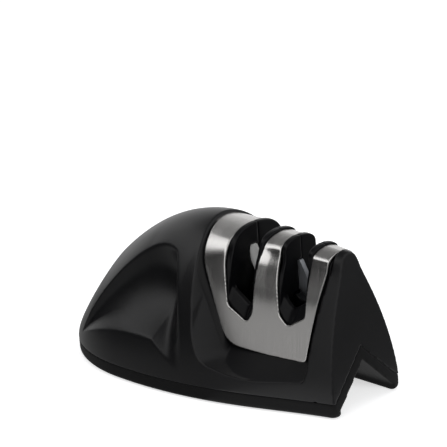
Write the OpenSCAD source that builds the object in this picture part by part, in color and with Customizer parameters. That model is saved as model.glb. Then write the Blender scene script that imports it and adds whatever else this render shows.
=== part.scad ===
// Two-stage countertop knife sharpener.
// The nose of the handle points to -X, the end face to +X, and the feet stand on z = 0.

/* [Body] */
// Length from the nose of the handle to the foot of the end face
body_l = 104; // [98:1:112]
// Greatest width, across the handle
body_w = 59.2; // [56:0.2:66]
// Width of the end face at its foot
end_w = 26.2; // [25:0.2:31]
// Fall of the crown line from the head's start to the end face
end_drop = 3.4; // [2:0.1:5]
// How far the top of the end face leans back towards the handle
end_lean = 4.6; // [3:0.2:6]
// Wall of the moulded housing
wall = 2.2; // [1.8:0.1:2.6]
// How deep the thumb scoops are cut into the handle
scoop_depth = 8; // [5:0.5:9]

/* [Base] */
// Height of the seam between the housing and the rubber pad
seam_h = 4.2; // [4:0.1:5.4]
// Depth of the right-angled groove that sits on a counter edge
groove_h = 12.5; // [10:0.5:13]
// Rise of the rubber over the groove, measured upwards
band_h = 4; // [3:0.1:4.6]
// Thickness of the rubber lip round the base plate
pad_lip = 2.2; // [1.8:0.1:3]
// Thickness of the base plate
plate_t = 1.8; // [1.5:0.1:2.2]

/* [Sharpening head] */
// From the foot of the end face to the middle of the coarse slot
end_to_slot = 17.95; // [17.5:0.05:18.5]
// Distance between the middles of the two slots
slot_pitch = 16.1; // [15.6:0.1:16.6]
// From the middle of the fine slot to the handle's top edge
slot_to_handle = 17.05; // [16:0.05:18]
// Clear width of a knife slot
slot_w = 7.2; // [6:0.1:7.6]
// Thickness of the black lining at the top of a slot
liner_t = 1.8; // [1.4:0.1:2]
// How far the linings stand proud of the steel
liner_rise = 0.5; // [0.3:0.1:0.8]
// Thickness of the core's floor over the ridge of the base plate
core_floor = 1.35; // [1.2:0.01:2]
// Height of the crossing of the sharpening edges over the core's floor
apex_rise = 11; // [10.5:0.1:12]
// Depth of that crossing under the crown's highest point
apex_drop = 13.9; // [12:0.1:16]
// Thickness of the steel saddle
saddle_t = 0.6; // [0.5:0.1:0.8]
// Step down from the housing's edge to the steel
lip_step = 0.8; // [0.6:0.1:1.2]
// Slope of the floor of the side wells
floor_tilt = 27; // [22:1:30]
// Angle by which the side wells turn in towards the end face
floor_yaw = 12; // [8:1:14]

/* [Abrasives] */
// Diameter of a ceramic rod
rod_d = 3.2; // [2.8:0.1:3.4]
// Length of a ceramic rod
rod_l = 18.6; // [17:0.2:19.2]
// Lean of the rods from upright
rod_lean = 25; // [22:1:27]
// Thickness of a carbide plate
blade_t = 1.4; // [1:0.1:1.6]
// Width of a carbide plate
blade_w = 4.5; // [4:0.1:5]
// Length of a carbide plate
blade_l = 15; // [13:0.5:15.5]
// Lean of the carbide plates from upright
blade_lean = 28; // [25:1:31]

/* [Fasteners] */
// Thread diameter of the long base screws and the core's mounting screws
screw_d = 3; // [2.6:0.1:3.2]
// Thread diameter of the short and the small screws
small_screw_d = 2.4; // [2:0.1:2.6]

/* [Hidden] */
$fn = 48;
// One overrun for every cut
over = 1;
// Clearance between pieces that slide together, and round screws, rods and plates
fit = 0.15;
loose = 0.2;
end_x = body_l / 2;
half_w = body_w / 2;

// Heights, from the groove up to the crown
pad_floor = seam_h - plate_t;
plate_rise = plate_t * sqrt(2);
band_top = groove_h + band_h;
plate_top = band_top + plate_rise;
carrier_low = plate_top + core_floor;
apex_h = carrier_low + apex_rise;
body_h = apex_h + apex_drop;
end_h = body_h - end_drop;
end_slope = end_lean / end_h;

// Shape of the body: where it is widest and highest, and the powers of its curves
widest_x = -16.8;
crown_x = 1.3;
flank_pull = 1.2;
side_power = 1.7;
nose_plan_power = 0.41;
nose_rise_power = 0.665;
crown_power = 1.86;
fall_power = 1.4;
// Fullness of the cross-section at places given as shares of the half length
fullness_shares = [[-1, 0.8], [-0.65, 1.63], [-0.31, 1.55], [0.06, 1.7], [0.24, 2], [0.5, 1.4], [1, 1.15]];
// Rounded crown: half width behind the head, at the end face, and its depth
cap_half = 6.4;
cap_end_half = 3.2;
cap_depth = 4;
// The same for the steel, whose crown stays fuller at the end face
steel_cap_end_half = 5.2;
steel_cap_depth = 3;
// Where the crown starts to narrow, and how sharply it meets the flanks and the steel's legs
cap_start_x = 28;
cap_power = 4;
leg_power = 8;

// Thumb scoop: the top of its arch, the crease under it and the ridge on its right
arch_h = 37.4;
arch_x = -7.5;
arch_drop_l = 30.3;
crease_h = 14.6;
crease_x = -8;
crease_run = 125;
crease_turn_x = -3;
crease_fall = 0.724;
scoop_left_x = -38;
scoop_deep_x = -3.5;
ridge_foot_x = 8.6;
ridge_run = 11.5;
ridge_foot_h = 6;
ridge_h = 31;
scoop_round = 1.25;
scoop_power = 1.2;
ridge_power = 2.2;

// Places along the head, from the middles of the two slots
head_l = end_to_slot + slot_pitch + slot_to_handle;
head_x = end_x - head_l;
slot_2_x = end_x - end_to_slot;
slot_1_x = slot_2_x - slot_pitch;
post_x = (slot_1_x + slot_2_x) / 2;

// Side wells: a point on the rim of the floor
rim_before_slot = 4.05;
rim_share = 0.1766;
rim_x = slot_2_x - rim_before_slot;
rim_h = rim_share * body_h;

// Steel legs: half width at the reference height, before slot 1 and past slot 2
leg_drop = 7.4;
leg_half = 14.2;
leg_end_half = 7.8;
leg_before_slot = 3.45;
leg_past_slot = 10.45;
leg_x = slot_1_x - leg_before_slot;
leg_end_x = slot_2_x + leg_past_slot;
leg_splay = 0.12;
lip_side = 0.3;
liner_tuck = 1.9;
tuck_h = 6;
tuck_low = 21;
tab_w = 8;
tab_l = 2;

nose_cut = 0.06;
pad_start_x = -45;
foot_round = 2.5;
cavity_start_x = -44.4;
plate_start_x = -43.8;
foot_half = 10.7;
plate_end_x = end_x - wall - end_slope * plate_top - over;

// Screw places and sizes
nose_screw_run = 9.2;
head_screw_run = 4.1;
slot_screw_run = 4.05;
screw_insets = [8.3, 8.1, 6];
long_screw_x = [widest_x - nose_screw_run, head_x + head_screw_run];
short_screw_x = slot_1_x + slot_screw_run;
boss_r = 3.2;
screw_head_r = 2.7;
screw_head_h = 1.5;
small_head_r = 2.2;
small_head_h = 1.3;
long_screw_l = 11;
short_screw_l = 5.6;
access_r = 3.3;
post_y = 7;
post_r = 3;
post_top_drop = 7.4;
mount_seat_drop = 2.9;
post_top = apex_h - post_top_drop;
mount_seat = apex_h - mount_seat_drop;
mount_screw_l = 11;
tie_seat = 2.6;
tie_before_slot = 7.95;
tie_past_slot = 6.9;
tie_rises = [3.6, 5];
tie_screws = [[slot_1_x - tie_before_slot, apex_h + tie_rises[0]], [slot_2_x + tie_past_slot, apex_h + tie_rises[1]]];

// Opening in the housing's floor under the core
hatch_before_slot = 5.45;
hatch_past_slot = 10.25;
hatch_start_x = slot_1_x - hatch_before_slot;
hatch_bend_x = rim_x;
hatch_end_x = slot_2_x + hatch_past_slot;
hatch_half = 4.2;
hatch_end_half = 7.6;
seat_gap = 0.3;

// Carriers of the rods and the plates, and the slots' ramps, by their drops from the crossing
carrier_edge = 0.5;
carrier_half = slot_w / 2 + carrier_edge;
carrier_y = 4;
carrier_high_drop = 3.4;
carrier_high = apex_h - carrier_high_drop;
rod_cradle_drop = 5.8;
blade_cradle_drop = 4.7;
cradle_r = 2.9;
ramp_low_drop = 10.9;
ramp_high_drop = 6.8;
ramp_run = 2.3;
crest_w = 1.2;
recess_drop = 9.8;
blade_corner_rise = 5.7;
blade_corner = [3.1, apex_h + blade_corner_rise];
rod_floor = 1.4;
inner_gap = 0.3;
set_screw_up = 2.2;
set_screw_l = 2.3;

BODY = [0.07, 0.07, 0.075];
RUBBER = [0.05, 0.05, 0.05];
STEEL = [0.78, 0.78, 0.77];
CERAMIC = [0.93, 0.92, 0.88];
CARBIDE = [0.36, 0.37, 0.38];
ZINC = [0.7, 0.71, 0.73];

// Curves of the body

function bound(value) = max(0, min(1, value));

// Half width of the body at its seam
function plan_half(x) =
    x < widest_x
        ? half_w * pow(max(0, 1 - pow((widest_x - x) / (widest_x + end_x), 2)), nose_plan_power)
        : let (run = (x - widest_x) / (end_x - widest_x))
          half_w - (half_w - end_w / 2) * run * run - flank_pull * sin(180 * pow(min(1, run), 3));

// Height of the body's crown line
function crown(x) =
    x < crown_x
        ? seam_h + (body_h - seam_h) * pow(max(0, 1 - pow((crown_x - x) / (crown_x + end_x), crown_power)),
            nose_rise_power)
        : body_h - (body_h - end_h) * pow((x - crown_x) / (end_x - crown_x), fall_power);

// Half width of a cross-section at a place along the body and a height, with a rounded crown
function section_y(x, z, cap_end, cap_deep) =
    let (top = crown(x),
         rise = bound((z - seam_h) / max(nose_cut, top - seam_h)),
         flank = plan_half(x) * pow(1 - pow(rise, side_power), 1 / lookup(x / end_x, fullness_shares)),
         depth = min(cap_deep, (top - seam_h) / 2),
         sink = bound((z - top + depth) / depth),
         full = cap_half + (cap_end - cap_half) * bound((x - cap_start_x) / (end_x - cap_start_x)),
         cap = min(full, plan_half(x) / 2) * sqrt(1 - sink * sink))
    pow(pow(flank, cap_power) + pow(cap, cap_power), 1 / cap_power);

function side_y(x, z) = section_y(x, z, cap_end_half, cap_depth);

// Thumb scoop
function arch_z(x) = arch_h - (arch_h - ridge_foot_h) * pow((arch_x - x) / arch_drop_l, 2);
function crease_z(x) = min(crease_h - pow(crease_x - x, 2) / crease_run, crease_h - crease_fall * (x - crease_turn_x));
function ridge_x(z) = ridge_foot_x - ridge_run * pow(bound((z - ridge_foot_h) / ridge_h), ridge_power);
function eased(share) = share * share * (3 - 2 * share);
function scoop_run(x, z) =
    x < scoop_deep_x
        ? pow(sin(90 * bound((x - scoop_left_x) / (scoop_deep_x - scoop_left_x))), scoop_power)
        : eased(bound((ridge_x(z) - x) / (ridge_x(z) - scoop_deep_x)));
function scoop(x, z) =
    let (low = crease_z(x), high = arch_z(max(scoop_left_x, x)), share = bound((z - low) / max(nose_cut, high - low)))
    high <= low ? 0 : scoop_depth * scoop_run(x, z) * pow(4 * share * (1 - share), scoop_round);

// Rise of a section's points, close together at the seam and the crown
function section_rises(count) = [for (i = [0:count]) pow(sin(90 * i / count), 2 / side_power)];

function mirrored_ring(points) =
    concat([for (p = points) [p[0], -p[1], p[2]]], [for (i = [len(points) - 1:-1:0]) points[i]]);

// Closed skin over rings that hold equally many points
module loft(rings) {
    n = len(rings[0]);
    m = len(rings);
    sides = [for (i = [0:m - 2], j = [0:n - 1], half = [0:1])
        let (a = i * n + j, b = i * n + (j + 1) % n)
        half == 0 ? [a, b, b + n] : [a, b + n, a + n]];
    first = [for (j = [n - 1:-1:0]) j];
    last = [for (j = [0:n - 1]) (m - 1) * n + j];
    polyhedron([for (ring = rings) each ring], concat(sides, [first], [last]), convexity = 8);
}

// Numbers of stations, and how they crowd towards the nose
NOSE_STEPS = 8;
SCOOP_STEPS = 26;
HEAD_STEPS = 10;
INNER_STEPS = 22;
ARCH_STEPS = 12;
OUTLINE_STEPS = 40;
OUTLINE_POWER = 1.4;
// Numbers of steps up a section, outside, inside and on the steel
OUTER_RISES = 23;
INNER_RISES = 14;
ARCH_RISES = 16;

// Stations along the body, close together at the nose
function stations(start, stop, count, power) = [for (i = [0:count]) start + (stop - start) * pow(i / count, power)];

module body_outer() {
    rises = section_rises(OUTER_RISES);
    xs = concat(stations(nose_cut - end_x, scoop_left_x - over, NOSE_STEPS, 2),
        stations(scoop_left_x, ridge_foot_x, SCOOP_STEPS, 1),
        stations(ridge_foot_x + 2 * over, end_x - 2 * end_lean, HEAD_STEPS, 1), [end_x]);
    loft([for (x = xs)
        mirrored_ring([for (rise = rises)
            let (z = seam_h + (crown(x) - seam_h) * rise)
            [x == end_x ? end_x - end_slope * z : x, max(nose_cut, side_y(x, z) - scoop(x, z)), z]])]);
}

module body_inner() {
    rises = section_rises(INNER_RISES);
    xs = concat(stations(cavity_start_x, end_x - wall - 2 * end_lean, INNER_STEPS, 1), [end_x - wall]);
    loft([for (x = xs)
        mirrored_ring([for (rise = rises)
            let (z = seam_h + (crown(x) - wall - seam_h) * rise, back = x == end_x - wall ? end_slope * z : 0,
                 low = rise == 0 ? over : 0)
            [x - back, max(nose_cut, side_y(x, z + wall / 2) - scoop(x, z) - wall), z - low]])]);
}

// Side wells and the bay of the sharpening head

// Outline points, each as shares of the head's length and the body's height, and the way that it grows
WELL_SHARES = [
    [0, 1.2, -1, 1], [0, 1.04, -1, 0], [0.131, 0.698, -1, 0], [0.25, 0.364, -1, 0], [0.294, 0.245, -1, -1],
    [0.433, 0.1865, 0, -1], [0.835, 0.169, 1, -1], [0.849, 0.513, 1, 0], [0.864, 0.821, 1, 0], [0.868, 1.2, 1, 1]];
// How far each corner of the outline is rounded
WELL_ROUNDS = [0, 0, 4, 2, 2.8, 4, 5, 3, 0, 0];
// How much of the wells' flare each point takes, and where the flare starts and how it grows outwards
WELL_FLARES = [0, 0, 0.6, 1, 0.8, 0, 0, 0, 0, 0];
flare_start = 17;
flare_reach = 28;
flare_growth = 0.3;

function head_point(share) = [head_x + head_l * share[0], body_h * share[1]];

function blend(before, corner, after, reach, steps) =
    let (a = corner + (before - corner) * reach / norm(before - corner),
         b = corner + (after - corner) * reach / norm(after - corner))
    reach == 0 ? [corner]
        : [for (i = [0:steps]) let (t = i / steps) a * pow(1 - t, 2) + 2 * t * (1 - t) * corner + b * t * t];

function rounded(points, reaches) =
    let (n = len(points))
    [for (i = [0:n - 1]) each blend(points[(i + n - 1) % n], points[i], points[(i + 1) % n], reaches[i], 5)];

module across(length) {
    rotate([90, 0, 0]) linear_extrude(height = length, center = true) children();
}

// Everything under the sloping floor of the wells, and under it by drop
module floor_blocks(drop) {
    reach = body_l;
    for (side = [0, 1])
        mirror([0, side, 0])
            intersection() {
                translate([rim_x, -side_y(rim_x, rim_h), rim_h - drop])
                    rotate([floor_tilt, 0, floor_yaw])
                        translate([-reach, -reach, -reach]) cube([2 * reach, 2 * reach, reach]);
                translate([-reach, -reach, -reach]) cube([2 * reach, reach, 2 * reach]);
            }
}

// Outline of the wells at one distance from the middle
function well_ring(y, grow) =
    let (flare = flare_growth * max(0, min(flare_reach, abs(y)) - flare_start),
         corners = [for (i = [0:len(WELL_SHARES) - 1])
             head_point(WELL_SHARES[i]) + grow * [WELL_SHARES[i][2], WELL_SHARES[i][3]] - [flare * WELL_FLARES[i], 0]])
    [for (p = rounded(corners, WELL_ROUNDS)) [p[0], y, p[1]]];

module well(grow) {
    difference() {
        loft([for (y = [-body_w, -flare_reach, -flare_start, flare_start, flare_reach, body_w]) well_ring(y, grow)]);
        floor_blocks(grow / cos(floor_tilt));
    }
}

// Ridge of a right angle along X, as high as top
module ridge(top, start, stop) {
    translate([start, 0, 0])
        rotate([90, 0, 90])
            linear_extrude(height = stop - start)
                polygon([[-top - over, -over], [0, top], [top + over, -over]]);
}

// The open groove of the base, with upright inner faces at its feet
module groove(top) {
    rotate([90, 0, 90])
        linear_extrude(height = 2 * body_l, center = true)
            polygon([[-foot_half, -over], [-foot_half, top - foot_half], [0, top], [foot_half, top - foot_half],
                [foot_half, -over]]);
}

module outline(inset) {
    xs = stations(nose_cut - end_x + inset, end_x - inset, OUTLINE_STEPS, OUTLINE_POWER);
    polygon(concat([for (x = xs) [x, -max(nose_cut, plan_half(x) - inset)]],
        [for (i = [len(xs) - 1:-1:0]) [xs[i], max(nose_cut, plan_half(xs[i]) - inset)]]));
}

// The sole's outline, with the corners of its feet rounded
module sole() {
    offset(r = foot_round) offset(delta = -foot_round) outline(0);
}

// The end face's plane, as a block in front of it
module beyond_end() {
    across(body_w)
        polygon([[end_x, 0], [end_x - end_slope * body_h, body_h], [end_x + over, body_h], [end_x + over, -over],
            [end_x + end_slope * over, -over]]);
}

module long_screw_places(high) {
    for (i = [0:1], side = [-1, 1])
        translate([long_screw_x[i], side * (plan_half(long_screw_x[i]) - screw_insets[i]), high]) children();
}

module short_screw_places(high) {
    for (side = [-1, 1])
        translate([short_screw_x, side * (plan_half(short_screw_x) - screw_insets[2]), high]) children();
}

module bore(radius, low, high) {
    translate([0, 0, low]) cylinder(r = radius, h = high - low);
}

// Opening under the core, made wider by grow
module hatch(grow) {
    translate([0, 0, rim_h])
        linear_extrude(height = carrier_high - rim_h)
            for (side = [-1, 1])
                polygon([[hatch_start_x - grow, 0], [hatch_start_x - grow, side * (hatch_half + grow)],
                    [hatch_bend_x, side * (hatch_half + grow)], [hatch_end_x + grow, side * (hatch_end_half + grow)],
                    [hatch_end_x + grow, 0]]);
}

// Housing: one moulded shell with the handle, the wells' floors, the end wall and its bosses
module housing() {
    color(BODY)
    difference() {
        union() {
            difference() {
                body_outer();
                well(0);
                difference() {
                    body_inner();
                    well(wall);
                    long_screw_places(0) bore(boss_r, 0, body_h);
                    short_screw_places(0) bore(boss_r, 0, body_h);
                }
                hatch(0);
            }
            for (side = [-1, 1])
                translate([post_x, side * post_y, 0]) bore(post_r, rim_h + band_h, post_top);
        }
        groove(groove_h);
        ridge(band_top, pad_start_x, body_l);
        ridge(plate_top + loose, cavity_start_x, plate_end_x + loose);
        long_screw_places(0) bore(screw_d / 2, 0, pad_floor + long_screw_l + loose);
        short_screw_places(0) bore(small_screw_d / 2, 0, pad_floor + short_screw_l + loose);
        for (side = [-1, 1])
            translate([post_x, side * post_y, 0])
                bore(screw_d / 2, mount_seat - mount_screw_l - loose, post_top + over);
        saddle_tab(fit);
    }
}

// Half width of the steel legs at a place along the head, at their reference height
function leg_at(x) = leg_half + (leg_end_half - leg_half) * (x - leg_x) / (leg_end_x - leg_x);

// Half width of the steel saddle's outer face, moved out by out
function saddle_y(x, z, out) =
    let (shell = section_y(x, z + lip_step - out, steel_cap_end_half, steel_cap_depth) - lip_side + out,
         leg = leg_at(x) + leg_splay * (apex_h - leg_drop - z) + out)
    pow(pow(max(nose_cut, shell), -leg_power) + pow(leg, -leg_power), -1 / leg_power);

// Solid arch of the head, its face moved out by out
module head_arch(out, low) {
    rises = section_rises(ARCH_RISES);
    loft([for (x = stations(head_x - tab_l - over, end_x - end_lean, ARCH_STEPS, 1))
        let (top = crown(x) - lip_step + out)
        mirrored_ring([for (rise = rises)
            let (z = low + (top - low) * rise)
            [x, max(nose_cut, saddle_y(x, z, out)), z]])]);
}

// Arch of the slots' linings, proud of the steel at the crown and tucked in behind it on the flanks
module liner_arch() {
    rises = section_rises(ARCH_RISES);
    loft([for (x = stations(head_x, end_x - end_lean, ARCH_STEPS, 1))
        let (top = crown(x) - lip_step + liner_rise)
        mirrored_ring([for (rise = rises)
            let (z = rim_h + (top - rim_h) * rise,
                 tuck = liner_tuck * min(bound((top - z) / tuck_h), bound((z - tuck_low) / tuck_h)))
            [x, max(nose_cut, saddle_y(x, z, liner_rise) - tuck), z]])]);
}

// Side outline of the steel
SADDLE_SHARES = [
    [0.01, 1.2, 1, 0], [0.01, 1.03, 1, 0], [0.059, 0.919, 1, 0], [0.145, 0.681, 1, 0], [0.264, 0.3, 1, 1],
    [0.5, 0.275, 0, 1], [0.752, 0.267, -1, 1], [0.782, 0.462, -1, 0], [0.812, 0.626, -1, 0],
    [0.85, 0.811, -1, 0], [0.86, 0.955, -1, 0], [0.86, 1.2, -1, 0]];
SADDLE_ROUNDS = [0, 0, 0, 4, 5, 3, 1.2, 2, 2, 2, 0, 0];
// The core's outline is the same at the handle, and reaches the end wall on the right
CORE_SHARES = concat([for (i = [0:4]) SADDLE_SHARES[i]],
    [[0.838, 0.25, -1, 1], [0.849, 0.513, -1, 0], [0.864, 0.821, -1, 0], [0.868, 1.2, -1, 0]]);
CORE_ROUNDS = [0, 0, 0, 4, 3, 0, 3, 0, 0];

// Low points of the steel's cut round each slot, as shares of the slot's width and of the ramp's drop
SLOT_1_SHARES = [[-0.44, 0.65], [0.4, 1], [0.65, 0.73]];
SLOT_2_SHARES = [[-0.44, 0.7], [-0.08, 0.94], [0.65, 0.65]];
SLOT_ROUNDS = [0, 0, 0.9, 1.3, 1.1, 0, 0];

module slot_cut(middle, low_shares, inset) {
    top_half = slot_w / 2 + liner_t - inset;
    top = body_h + cap_depth;
    low = [for (i = [0:2])
        [low_shares[i][0] * slot_w + inset * (1 - i), apex_h - low_shares[i][1] * ramp_low_drop + inset]];
    translate([middle, 0, 0])
        across(2 * body_w)
            polygon(rounded([[-top_half, top], [-top_half, body_h - cap_depth], low[0], low[1], low[2],
                [top_half, body_h - cap_depth], [top_half, top]], SLOT_ROUNDS));
}

module slot_cuts(inset) {
    slot_cut(slot_1_x, SLOT_1_SHARES, inset);
    slot_cut(slot_2_x, SLOT_2_SHARES, inset);
}

// Tab at the handle's end of the steel, which hooks under the housing's edge
module saddle_tab(gap) {
    difference() {
        intersection() {
            head_arch(gap, rim_h);
            translate([head_x - tab_l - gap, -tab_w / 2 - gap, crown(head_x) - cap_depth])
                cube([2 * tab_l, tab_w + 2 * gap, cap_depth]);
        }
        head_arch(-saddle_t - gap, rim_h - over);
    }
}

module head_outline(shares, rounds, inset) {
    across(2 * body_w)
        polygon(rounded([for (share = shares) head_point(share) + inset * [share[2], share[3]]], rounds));
}

// Saddle: brushed sheet bent over the core, with two slots and a tab
module saddle_cover() {
    color(STEEL) {
        difference() {
            intersection() {
                head_arch(0, groove_h - over);
                head_outline(SADDLE_SHARES, SADDLE_ROUNDS, 0);
            }
            head_arch(-saddle_t, rim_h);
            slot_cuts(0);
        }
        saddle_tab(0);
    }
}

// Rods and plates, each placed from the point where the sharpening edges cross

// A rod leans beside the crossing, and stands on its floor in the carrier
module lean_rod(side, radius, extra) {
    down = (apex_rise - rod_floor) / cos(rod_lean);
    translate([slot_1_x, side * (rod_d + inner_gap) / 2, apex_h])
        rotate([0, side * rod_lean, 0])
            translate([side * rod_d / 2, 0, -down - extra])
                cylinder(r = radius, h = rod_l + 2 * extra);
}

module lean_blade(side, play) {
    translate([slot_2_x + side * blade_corner[0], side * (blade_t + inner_gap) / 2, blade_corner[1]])
        rotate([0, side * blade_lean, 0])
            translate([side * blade_w / 2, 0, -blade_l / 2])
                cube([blade_w + 2 * play, blade_t + 2 * play, blade_l + 2 * play], center = true);
}

module set_screws(radius, extra) {
    for (side = [-1, 1])
        translate([slot_2_x + side * blade_corner[0], 0, blade_corner[1]])
            rotate([0, side * blade_lean, 0])
                translate([side * blade_w / 2, side * (blade_t + inner_gap / 2), set_screw_up - blade_l])
                    rotate([-side * 90, 0, 0])
                        cylinder(r = radius, h = set_screw_l + extra);
}

module ceramic_rod_front() {
    color(CERAMIC) lean_rod(-1, rod_d / 2, 0);
}

module ceramic_rod_back() {
    color(CERAMIC) lean_rod(1, rod_d / 2, 0);
}

module carbide_blade_front() {
    color(CARBIDE) lean_blade(-1, 0);
}

module carbide_blade_back() {
    color(CARBIDE) lean_blade(1, 0);
}

module blade_set_screws() {
    color(ZINC) set_screws(small_screw_d / 2, 0);
}

// Cradle block at the bottom of a slot
module carrier(middle, play) {
    translate([middle - carrier_half - play, -carrier_y - play, carrier_low - play])
        cube([2 * (carrier_half + play), 2 * (carrier_y + play), carrier_high - carrier_low + 2 * play]);
}

module cradle(middle, drop) {
    translate([middle, 0, apex_h - drop + cradle_r])
        rotate([90, 0, 0])
            cylinder(r = cradle_r, h = 2 * (carrier_y + over), center = true);
}

module rod_carrier() {
    color(BODY)
    difference() {
        carrier(slot_1_x, 0);
        cradle(slot_1_x, rod_cradle_drop);
        lean_rod(-1, rod_d / 2, 0);
        lean_rod(1, rod_d / 2, 0);
    }
}

module blade_carrier() {
    color(BODY)
    difference() {
        carrier(slot_2_x, 0);
        cradle(slot_2_x, blade_cradle_drop);
        lean_blade(-1, 0);
        lean_blade(1, 0);
        set_screws(small_screw_d / 2, over);
    }
}

// Core: two moulded halves that meet in the middle, with the slots' linings

// Room of one slot in the core, seen along the body: ramps at both mouths and a recess between them
module slot_room(middle) {
    reach = leg_at(middle);
    crest = reach - ramp_run;
    recess = crest - crest_w;
    foot = apex_h - ramp_low_drop;
    sill = apex_h - ramp_high_drop;
    pit = apex_h - recess_drop;
    translate([middle - slot_w / 2, 0, 0])
        rotate([90, 0, 90])
            linear_extrude(height = slot_w)
                polygon([[-body_w, foot], [-reach, foot], [-crest, sill], [-recess, sill], [-recess, pit],
                    [recess, pit], [recess, sill], [crest, sill], [reach, foot], [body_w, foot],
                    [body_w, body_h + over], [-body_w, body_h + over]]);
}

module core_shape() {
    difference() {
        union() {
            difference() {
                intersection() {
                    head_arch(-saddle_t - seat_gap, rim_h);
                    head_outline(CORE_SHARES, CORE_ROUNDS, seat_gap);
                }
                slot_cuts(2 * fit);
            }
            intersection() {
                liner_arch();
                slot_cuts(fit);
            }
        }
        slot_room(slot_1_x);
        slot_room(slot_2_x);
        difference() {
            floor_blocks(-seat_gap);
            hatch(-seat_gap);
        }
        ridge(plate_top + seat_gap, -body_l, body_l);
        carrier(slot_1_x, fit);
        carrier(slot_2_x, fit);
        for (side = [-1, 1])
            translate([post_x, side * post_y, 0]) {
                bore(post_r + fit, 0, post_top);
                bore(screw_d / 2 + loose, 0, body_h);
                bore(access_r, mount_seat, body_h);
            }
        for (place = tie_screws)
            translate([place[0], 0, place[1]])
                rotate([90, 0, 0]) {
                    cylinder(r = small_screw_d / 2, h = 2 * (tie_seat + loose), center = true);
                    cylinder(r = small_screw_d / 2 + loose, h = tie_seat + over);
                    translate([0, 0, tie_seat]) cylinder(r = small_head_r + loose, h = body_w);
                }
    }
}

module core_half(side) {
    difference() {
        intersection() {
            core_shape();
            translate([0, side * body_w / 2, body_h / 2]) cube([2 * body_l, body_w, 2 * body_h], center = true);
        }
        lean_rod(side, rod_d / 2 + loose, loose);
        lean_blade(side, loose);
    }
}

module core_front() {
    color(BODY) core_half(-1);
}

module core_back() {
    color(BODY) core_half(1);
}

// Screw with its head's underside at the origin and its thread upwards
module screw(d, l, head_r, head_h) {
    difference() {
        union() {
            cylinder(r = d / 2, h = l);
            translate([0, 0, -head_h]) cylinder(r = head_r, h = head_h);
        }
        for (turn = [0, 90])
            rotate([0, 0, turn])
                translate([0, 0, -head_h])
                    cube([head_r, head_r / 4, head_h], center = true);
    }
}

module core_tie_screws() {
    color(ZINC)
    for (place = tie_screws)
        translate([place[0], -tie_seat, place[1]])
            rotate([-90, 0, 0])
                screw(small_screw_d, 2 * tie_seat, small_head_r, small_head_h);
}

module core_mount_screws() {
    color(ZINC)
    for (side = [-1, 1])
        translate([post_x, side * post_y, mount_seat])
            rotate([180, 0, 0])
                screw(screw_d, mount_screw_l, screw_head_r, screw_head_h);
}

module base_screws_long() {
    color(ZINC)
    long_screw_places(pad_floor) screw(screw_d, long_screw_l, screw_head_r, screw_head_h);
}

module base_screws_short() {
    color(ZINC)
    short_screw_places(pad_floor) screw(small_screw_d, short_screw_l, small_head_r, small_head_h);
}

// Base plate: pressed sheet that closes the housing and follows the groove
module base_plate() {
    color(STEEL)
    difference() {
        intersection() {
            union() {
                translate([0, 0, pad_floor]) linear_extrude(height = plate_t) outline(pad_lip);
                ridge(plate_top, plate_start_x, plate_end_x);
            }
            translate([0, 0, pad_floor]) linear_extrude(height = body_h) outline(pad_lip);
            translate([plate_start_x, -body_w, 0]) cube([plate_end_x - plate_start_x, 2 * body_w, body_h]);
        }
        ridge(band_top, -body_l, body_l);
        long_screw_places(0) bore(screw_d / 2 + loose, 0, body_h);
        short_screw_places(0) bore(small_screw_d / 2 + loose, 0, body_h);
    }
}

// Pad: soft rubber sole with the lined groove
module base_pad() {
    color(RUBBER)
    difference() {
        union() {
            linear_extrude(height = seam_h) sole();
            intersection() {
                ridge(band_top, pad_start_x, body_l);
                linear_extrude(height = body_h) sole();
            }
        }
        groove(groove_h);
        beyond_end();
        difference() {
            translate([0, 0, pad_floor]) linear_extrude(height = body_h) outline(pad_lip);
            ridge(band_top, -body_l, body_l);
            translate([plate_end_x, -body_w, 0]) cube([body_l, 2 * body_w, body_h]);
            translate([plate_start_x - body_l, -body_w, 0]) cube([body_l, 2 * body_w, body_h]);
        }
        long_screw_places(0) bore(screw_head_r + seat_gap, -over, pad_floor + over);
        short_screw_places(0) bore(small_head_r + seat_gap, -over, pad_floor + over);
    }
}

housing();
saddle_cover();
core_front();
core_back();
rod_carrier();
ceramic_rod_front();
ceramic_rod_back();
blade_carrier();
carbide_blade_front();
carbide_blade_back();
blade_set_screws();
core_tie_screws();
core_mount_screws();
base_plate();
base_screws_long();
base_screws_short();
base_pad();
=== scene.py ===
import math

import bmesh
import bpy
import numpy as np
from mathutils import Matrix, Vector


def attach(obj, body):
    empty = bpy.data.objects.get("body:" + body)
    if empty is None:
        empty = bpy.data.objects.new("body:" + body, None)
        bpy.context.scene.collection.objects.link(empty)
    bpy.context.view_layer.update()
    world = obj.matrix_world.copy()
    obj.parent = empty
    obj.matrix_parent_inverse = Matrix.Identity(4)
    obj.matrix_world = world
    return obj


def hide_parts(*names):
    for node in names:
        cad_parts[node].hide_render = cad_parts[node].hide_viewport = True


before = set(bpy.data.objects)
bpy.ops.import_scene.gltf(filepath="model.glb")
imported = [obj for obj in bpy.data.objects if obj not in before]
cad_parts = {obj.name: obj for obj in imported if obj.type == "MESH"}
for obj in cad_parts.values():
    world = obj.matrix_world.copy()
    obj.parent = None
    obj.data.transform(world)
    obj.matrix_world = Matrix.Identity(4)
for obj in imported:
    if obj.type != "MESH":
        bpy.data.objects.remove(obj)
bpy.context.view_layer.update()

# Camera. The photograph looks at the end face and the near side from about 47 degrees and
# 20 degrees up with a long lens; the aim point sits right of and below the frame's middle.
MM = 0.001
photo_px = 447
focus_px = 1629.6
aim_mm = np.array([0, 0, 20.0])
aim_px = np.array([227.2, 294.3])
azimuth, elevation, roll = math.radians(47.05), math.radians(20.21), math.radians(-4.3)
distance_mm = 464

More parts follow.
